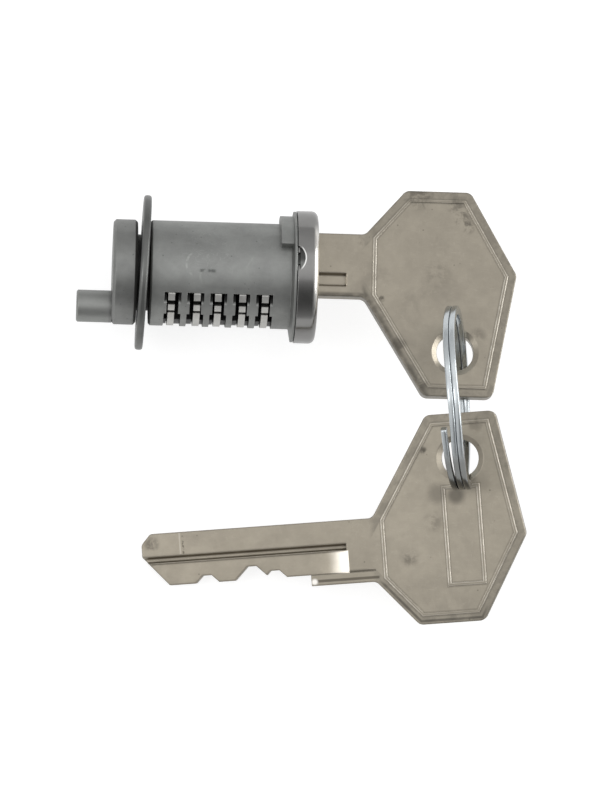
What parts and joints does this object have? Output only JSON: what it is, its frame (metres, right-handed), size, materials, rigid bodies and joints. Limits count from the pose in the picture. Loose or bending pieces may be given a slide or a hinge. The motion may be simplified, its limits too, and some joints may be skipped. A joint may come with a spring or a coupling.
{
  "type": "hatch lock",
  "caption": "Die-cast wafer lock plug with pressed cap, loose washer and off-centre drive pin, its flat key in place and a spare key on the same split ring",
  "frame": {"origin": "On the plug's axis, in the plane of the front cap's rear edge, just ahead of the flange.", "axes": "+X along the plug's axis from the drive pin to the key's bow, +Y across the blade towards its cuts (the wafers come out on the -Y side), +Z square to the face of the key in the lock, up from the table that everything lies on."},
  "size_m": [0.0623, 0.0592, 0.0321],
  "materials": {
    "cast_zinc": "satin die-cast zinc, slightly grey-green, faintly scratched",
    "polished_cap": "pressed steel cap with a smooth bright rim",
    "zinc_plate": "zinc-plated stamped steel",
    "wafer_nickel": "stamped, nickel-plated",
    "spring_steel": "drawn wire",
    "key_nickel": "nickel-plated brass, tumbled, warm and a little worn",
    "ring_steel": "bright zinc-plated spring steel"
  },
  "bodies": {
    "lock_body": {"plug_body": "cast_zinc", "front_cap": "polished_cap", "drive_disc": "cast_zinc", "wafer_spring_1": "spring_steel", "wafer_spring_2": "spring_steel", "wafer_spring_3": "spring_steel", "wafer_spring_4": "spring_steel", "wafer_spring_5": "spring_steel"},
    "lock_key": {"key_in_lock": "key_nickel"},
    "washer": {"retaining_washer": "zinc_plate"},
    "ring": {"split_ring": "ring_steel"},
    "second_key": {"spare_key": "key_nickel"},
    "wafer_body_1": {"wafer_1": "wafer_nickel"},
    "wafer_body_2": {"wafer_2": "wafer_nickel"},
    "wafer_body_3": {"wafer_3": "wafer_nickel"},
    "wafer_body_4": {"wafer_4": "wafer_nickel"},
    "wafer_body_5": {"wafer_5": "wafer_nickel"}
  },
  "joints": [
    {"name": "key_slide", "type": "slide", "parent": "lock_body", "child": "lock_key", "axis": [1, 0, 0], "range_m": [0, 0.027]},
    {"name": "wafer_1_slide", "type": "slide", "parent": "lock_body", "child": "wafer_body_1", "axis": [0, -1, 0], "range_m": [0, 0.00075]},
    {"name": "wafer_2_slide", "type": "slide", "parent": "lock_body", "child": "wafer_body_2", "axis": [0, -1, 0], "range_m": [0, 0.00075]},
    {"name": "wafer_3_slide", "type": "slide", "parent": "lock_body", "child": "wafer_body_3", "axis": [0, -1, 0], "range_m": [0, 0.00075]},
    {"name": "wafer_4_slide", "type": "slide", "parent": "lock_body", "child": "wafer_body_4", "axis": [0, -1, 0], "range_m": [0, 0.00075]},
    {"name": "wafer_5_slide", "type": "slide", "parent": "lock_body", "child": "wafer_body_5", "axis": [0, -1, 0], "range_m": [0, 0.00075]},
    {"name": "washer_spin", "type": "hinge", "parent": "lock_body", "child": "washer", "pos_m": [-0.02079, 0, 0], "axis": [0.9994, -0.0349, 0], "continuous": true},
    {"name": "ring_swing", "type": "hinge", "parent": "lock_key", "child": "ring", "pos_m": [0.0221, -0.00998, 0], "axis": [0, 0, 1], "range_deg": [-8, 75]},
    {"name": "spare_key_swing", "type": "hinge", "parent": "ring", "child": "second_key", "pos_m": [0.02318, -0.02432, -0.00095], "axis": [-0.1444, -0.1718, 0.9745], "range_deg": [-6, 20]}
  ],
  "couplings": [
    {"joint": "wafer_1_slide", "follows": "key_slide", "ratio": 0.0277},
    {"joint": "wafer_2_slide", "follows": "key_slide", "ratio": 0.0277},
    {"joint": "wafer_3_slide", "follows": "key_slide", "ratio": 0.0277},
    {"joint": "wafer_4_slide", "follows": "key_slide", "ratio": 0.0277},
    {"joint": "wafer_5_slide", "follows": "key_slide", "ratio": 0.0277}
  ]
}
